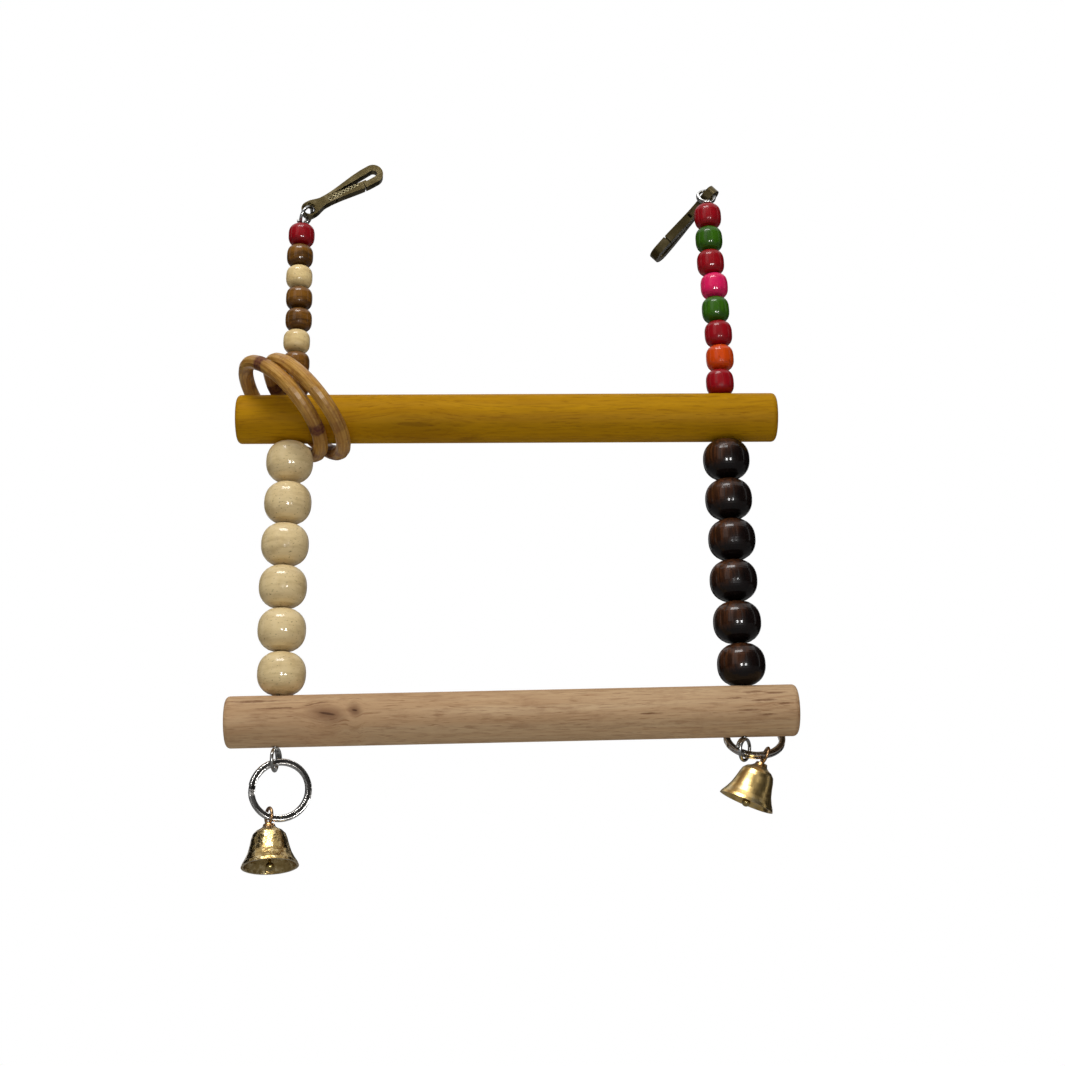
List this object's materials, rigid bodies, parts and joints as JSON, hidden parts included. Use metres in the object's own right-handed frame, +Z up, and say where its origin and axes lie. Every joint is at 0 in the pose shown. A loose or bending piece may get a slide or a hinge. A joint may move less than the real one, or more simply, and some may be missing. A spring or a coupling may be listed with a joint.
{
  "type": "parrot toy",
  "caption": "Hanging parrot toy: two round wooden perches carried one below the other on beaded wires, with snap clips on top, bells on split rings below and cane rings at one end.",
  "frame": {"origin": "middle of the slot in the left snap clip's hook, where the cage bar goes", "axes": "+X to the right along the perches, +Y away from the viewer of the picture, +Z up along the wires as the toy hangs"},
  "size_m": [0.1995, 0.0473, 0.2721],
  "materials": {
    "stained_wood": "yellow stain, satin",
    "plain_wood": "bare, matt",
    "cane": "peeled cane, satin",
    "bead_cream": "bare, polished",
    "bead_brown": "stained, glossy",
    "bead_dark": "stained, glossy",
    "bead_red": "dyed, glossy",
    "bead_green": "dyed, glossy",
    "bead_pink": "dyed, glossy",
    "bead_orange": "dyed, glossy",
    "steel": "drawn wire",
    "ring_steel": "polished",
    "brass": "worn satin",
    "bell_brass": "polished",
    "copper_wire": "dull",
    "clapper_metal": "dull"
  },
  "bodies": {
    "frame": {"upper_perch": "stained_wood", "lower_perch": "plain_wood", "left_wire": "steel", "right_wire": "steel", "cane_ring_1": "cane", "cane_ring_2": "cane"},
    "left_small_bead_1": {"left_small_bead_1": "bead_red"},
    "left_small_bead_2": {"left_small_bead_2": "bead_brown"},
    "left_small_bead_3": {"left_small_bead_3": "bead_cream"},
    "left_small_bead_4": {"left_small_bead_4": "bead_brown"},
    "left_small_bead_5": {"left_small_bead_5": "bead_brown"},
    "left_small_bead_6": {"left_small_bead_6": "bead_cream"},
    "left_small_bead_7": {"left_small_bead_7": "bead_brown"},
    "left_small_bead_8": {"left_small_bead_8": "bead_brown"},
    "left_large_bead_1": {"left_large_bead_1": "bead_cream"},
    "left_large_bead_2": {"left_large_bead_2": "bead_cream"},
    "left_large_bead_3": {"left_large_bead_3": "bead_cream"},
    "left_large_bead_4": {"left_large_bead_4": "bead_cream"},
    "left_large_bead_5": {"left_large_bead_5": "bead_cream"},
    "left_large_bead_6": {"left_large_bead_6": "bead_cream"},
    "right_small_bead_1": {"right_small_bead_1": "bead_red"},
    "right_small_bead_2": {"right_small_bead_2": "bead_green"},
    "right_small_bead_3": {"right_small_bead_3": "bead_red"},
    "right_small_bead_4": {"right_small_bead_4": "bead_pink"},
    "right_small_bead_5": {"right_small_bead_5": "bead_green"},
    "right_small_bead_6": {"right_small_bead_6": "bead_red"},
    "right_small_bead_7": {"right_small_bead_7": "bead_orange"},
    "right_small_bead_8": {"right_small_bead_8": "bead_red"},
    "right_large_bead_1": {"right_large_bead_1": "bead_dark"},
    "right_large_bead_2": {"right_large_bead_2": "bead_dark"},
    "right_large_bead_3": {"right_large_bead_3": "bead_dark"},
    "right_large_bead_4": {"right_large_bead_4": "bead_dark"},
    "right_large_bead_5": {"right_large_bead_5": "bead_dark"},
    "right_large_bead_6": {"right_large_bead_6": "bead_dark"},
    "left_clip": {"left_clip_body": "brass", "left_gate_pin": "brass"},
    "left_gate": {"left_clip_gate": "brass"},
    "left_ring": {"left_split_ring": "ring_steel"},
    "left_bell": {"left_bell": "bell_brass", "left_bell_loop": "copper_wire"},
    "left_clapper": {"left_clapper": "clapper_metal"},
    "right_clip": {"right_clip_body": "brass", "right_gate_pin": "brass"},
    "right_gate": {"right_clip_gate": "brass"},
    "right_ring": {"right_split_ring": "ring_steel"},
    "right_bell": {"right_bell": "bell_brass", "right_bell_loop": "copper_wire"},
    "right_clapper": {"right_clapper": "clapper_metal"}
  },
  "joints": [
    {"name": "left_small_bead_1_spin", "type": "hinge", "parent": "frame", "child": "left_small_bead_1", "pos_m": [-0.02668, -0.00179, -0.02731], "axis": [0, 0, 1], "continuous": true},
    {"name": "left_small_bead_2_spin", "type": "hinge", "parent": "frame", "child": "left_small_bead_2", "pos_m": [-0.02698, -0.00179, -0.03626], "axis": [0, 0, 1], "continuous": true},
    {"name": "left_small_bead_3_spin", "type": "hinge", "parent": "frame", "child": "left_small_bead_3", "pos_m": [-0.02698, -0.00179, -0.04521], "axis": [0, 0, 1], "continuous": true},
    {"name": "left_small_bead_4_spin", "type": "hinge", "parent": "frame", "child": "left_small_bead_4", "pos_m": [-0.02673, -0.00179, -0.05416], "axis": [0, 0, 1], "continuous": true},
    {"name": "left_small_bead_5_spin", "type": "hinge", "parent": "frame", "child": "left_small_bead_5", "pos_m": [-0.02663, -0.00179, -0.06311], "axis": [0, 0, 1], "continuous": true},
    {"name": "left_small_bead_6_spin", "type": "hinge", "parent": "frame", "child": "left_small_bead_6", "pos_m": [-0.02708, -0.00179, -0.07206], "axis": [0, 0, 1], "continuous": true},
    {"name": "left_small_bead_7_spin", "type": "hinge", "parent": "frame", "child": "left_small_bead_7", "pos_m": [-0.02698, -0.00179, -0.08101], "axis": [0, 0, 1], "continuous": true},
    {"name": "left_small_bead_8_spin", "type": "hinge", "parent": "frame", "child": "left_small_bead_8", "pos_m": [-0.02688, -0.00179, -0.08996], "axis": [0, 0, 1], "continuous": true},
    {"name": "left_large_bead_1_spin", "type": "hinge", "parent": "frame", "child": "left_large_bead_1", "pos_m": [-0.02802, -0.00179, -0.12035], "axis": [0.0201, 0, 0.9998], "continuous": true},
    {"name": "left_large_bead_2_spin", "type": "hinge", "parent": "frame", "child": "left_large_bead_2", "pos_m": [-0.02814, -0.00179, -0.13622], "axis": [0.0201, 0, 0.9998], "continuous": true},
    {"name": "left_large_bead_3_spin", "type": "hinge", "parent": "frame", "child": "left_large_bead_3", "pos_m": [-0.02861, -0.00179, -0.15209], "axis": [0.0201, 0, 0.9998], "continuous": true},
    {"name": "left_large_bead_4_spin", "type": "hinge", "parent": "frame", "child": "left_large_bead_4", "pos_m": [-0.02878, -0.00179, -0.16796], "axis": [0.0201, 0, 0.9998], "continuous": true},
    {"name": "left_large_bead_5_spin", "type": "hinge", "parent": "frame", "child": "left_large_bead_5", "pos_m": [-0.0286, -0.00179, -0.18383], "axis": [0.0201, 0, 0.9998], "continuous": true},
    {"name": "left_large_bead_6_spin", "type": "hinge", "parent": "frame", "child": "left_large_bead_6", "pos_m": [-0.02812, -0.00179, -0.19972], "axis": [0.0201, 0, 0.9998], "continuous": true},
    {"name": "right_small_bead_1_spin", "type": "hinge", "parent": "frame", "child": "right_small_bead_1", "pos_m": [0.12934, -0.00179, -0.01946], "axis": [-0.0236, 0, 0.9997], "continuous": true},
    {"name": "right_small_bead_2_spin", "type": "hinge", "parent": "frame", "child": "right_small_bead_2", "pos_m": [0.12937, -0.00179, -0.02946], "axis": [-0.0236, 0, 0.9997], "continuous": true},
    {"name": "right_small_bead_3_spin", "type": "hinge", "parent": "frame", "child": "right_small_bead_3", "pos_m": [0.12951, -0.00179, -0.03946], "axis": [-0.0236, 0, 0.9997], "continuous": true},
    {"name": "right_small_bead_4_spin", "type": "hinge", "parent": "frame", "child": "right_small_bead_4", "pos_m": [0.13044, -0.00179, -0.04944], "axis": [-0.0236, 0, 0.9997], "continuous": true},
    {"name": "right_small_bead_5_spin", "type": "hinge", "parent": "frame", "child": "right_small_bead_5", "pos_m": [0.13048, -0.00179, -0.05944], "axis": [-0.0236, 0, 0.9997], "continuous": true},
    {"name": "right_small_bead_6_spin", "type": "hinge", "parent": "frame", "child": "right_small_bead_6", "pos_m": [0.13106, -0.00179, -0.06943], "axis": [-0.0236, 0, 0.9997], "continuous": true},
    {"name": "right_small_bead_7_spin", "type": "hinge", "parent": "frame", "child": "right_small_bead_7", "pos_m": [0.13115, -0.00179, -0.07943], "axis": [-0.0236, 0, 0.9997], "continuous": true},
    {"name": "right_small_bead_8_spin", "type": "hinge", "parent": "frame", "child": "right_small_bead_8", "pos_m": [0.13069, -0.00179, -0.08945], "axis": [-0.0236, 0, 0.9997], "continuous": true},
    {"name": "right_large_bead_1_spin", "type": "hinge", "parent": "frame", "child": "right_large_bead_1", "pos_m": [0.13152, -0.00179, -0.12018], "axis": [-0.0122, 0, 0.9999], "continuous": true},
    {"name": "right_large_bead_2_spin", "type": "hinge", "parent": "frame", "child": "right_large_bead_2", "pos_m": [0.13161, -0.00179, -0.13567], "axis": [-0.0122, 0, 0.9999], "continuous": true},
    {"name": "right_large_bead_3_spin", "type": "hinge", "parent": "frame", "child": "right_large_bead_3", "pos_m": [0.132, -0.00179, -0.15116], "axis": [-0.0122, 0, 0.9999], "continuous": true},
    {"name": "right_large_bead_4_spin", "type": "hinge", "parent": "frame", "child": "right_large_bead_4", "pos_m": [0.13179, -0.00179, -0.16665], "axis": [-0.0122, 0, 0.9999], "continuous": true},
    {"name": "right_large_bead_5_spin", "type": "hinge", "parent": "frame", "child": "right_large_bead_5", "pos_m": [0.13228, -0.00179, -0.18213], "axis": [-0.0122, 0, 0.9999], "continuous": true},
    {"name": "right_large_bead_6_spin", "type": "hinge", "parent": "frame", "child": "right_large_bead_6", "pos_m": [0.13297, -0.00179, -0.19762], "axis": [-0.0122, 0, 0.9999], "continuous": true},
    {"name": "left_clip_swing", "type": "hinge", "parent": "frame", "child": "left_clip", "pos_m": [-0.02408, -0.00179, -0.01641], "axis": [-0.0887, 0.9958, 0.0214], "range_deg": [-150, 90]},
    {"name": "left_gate_open", "type": "hinge", "parent": "left_clip", "child": "left_gate", "pos_m": [-0.01561, -0.00115, -0.0113], "axis": [0.0887, -0.9958, -0.0214], "range_deg": [0, 5.5], "stiffness_Nm_per_rad": 0.002, "springref_deg": -5.73},
    {"name": "left_ring_swing", "type": "hinge", "parent": "frame", "child": "left_ring", "pos_m": [-0.02945, -0.00179, -0.23118], "axis": [0.9715, 0, 0.2368], "range_deg": [-90, 90]},
    {"name": "left_bell_swing", "type": "hinge", "parent": "left_ring", "child": "left_bell", "pos_m": [-0.03063, -0.00179, -0.24936], "axis": [-0.9336, 0, 0.3584], "range_deg": [-90, 90]},
    {"name": "left_clapper_swing", "type": "hinge", "parent": "left_bell", "child": "left_clapper", "pos_m": [-0.02993, -0.00306, -0.25853], "axis": [0.8746, 0.4848, 0], "range_deg": [-30, 30]},
    {"name": "right_clip_swing", "type": "hinge", "parent": "frame", "child": "right_clip", "pos_m": [0.13101, 0.00002, -0.0086], "axis": [-0.678, 0.0288, 0.7345], "range_deg": [-260, 0]},
    {"name": "right_gate_open", "type": "hinge", "parent": "right_clip", "child": "right_gate", "pos_m": [0.12436, 0.00385, -0.01489], "axis": [0.678, -0.0288, -0.7345], "range_deg": [0, 5.5], "stiffness_Nm_per_rad": 0.002, "springref_deg": -5.73},
    {"name": "right_ring_swing", "type": "hinge", "parent": "frame", "child": "right_ring", "pos_m": [0.13314, -0.00008, -0.22905], "axis": [-0.9063, 0.2717, 0.3237], "range_deg": [0, 105]},
    {"name": "right_bell_swing", "type": "hinge", "parent": "right_ring", "child": "right_bell", "pos_m": [0.13975, -0.00045, -0.22964], "axis": [0.9659, 0.1664, 0.1983], "range_deg": [-100, 6]},
    {"name": "right_clapper_swing", "type": "hinge", "parent": "right_bell", "child": "right_clapper", "pos_m": [0.13595, 0.00052, -0.23806], "axis": [0.9065, 0.1598, -0.3907], "range_deg": [-30, 30]}
  ]
}
